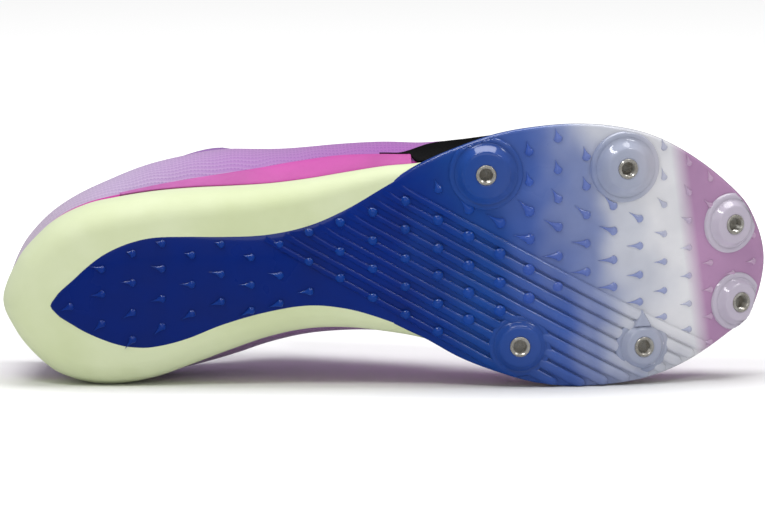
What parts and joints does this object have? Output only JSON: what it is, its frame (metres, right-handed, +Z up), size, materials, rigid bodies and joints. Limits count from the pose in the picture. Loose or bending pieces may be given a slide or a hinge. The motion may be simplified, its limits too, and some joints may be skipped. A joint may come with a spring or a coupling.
{
  "type": "track spike shoe",
  "caption": "Right track spike shoe lying on its medial side, with a flared forefoot plate, raised pin bosses, a foam heel and a thin hollow upper.",
  "frame": {"origin": "middle of the bounding box's base, on the floor that the shoe lies on", "axes": "+X from heel to toe, +Y from the sole towards the collar, +Z up from the floor, from the medial to the lateral side"},
  "size_m": [0.275, 0.1086, 0.0958],
  "materials": {
    "plate_polymer": "glossy, clear at the forefoot",
    "insert_steel": "bright, threaded inside",
    "midsole_foam": "smooth matte foam",
    "wedge_foam": "satin foam",
    "rand_film": "satin film",
    "upper_mesh": "woven, a little translucent",
    "tongue_cloth": "matte knit",
    "insole_cloth": "matte cloth",
    "lace_cord": "flat woven"
  },
  "bodies": {
    "root": {"outsole_plate": "plate_polymer", "midsole": "midsole_foam", "side_wedge": "wedge_foam", "forefoot_rand": "rand_film", "upper": "upper_mesh", "tongue": "tongue_cloth", "insole": "insole_cloth", "lace": "lace_cord", "receptacle_1": "insert_steel", "receptacle_2": "insert_steel", "receptacle_3": "insert_steel", "receptacle_4": "insert_steel", "receptacle_5": "insert_steel", "receptacle_6": "insert_steel"}
  },
  "joints": []
}
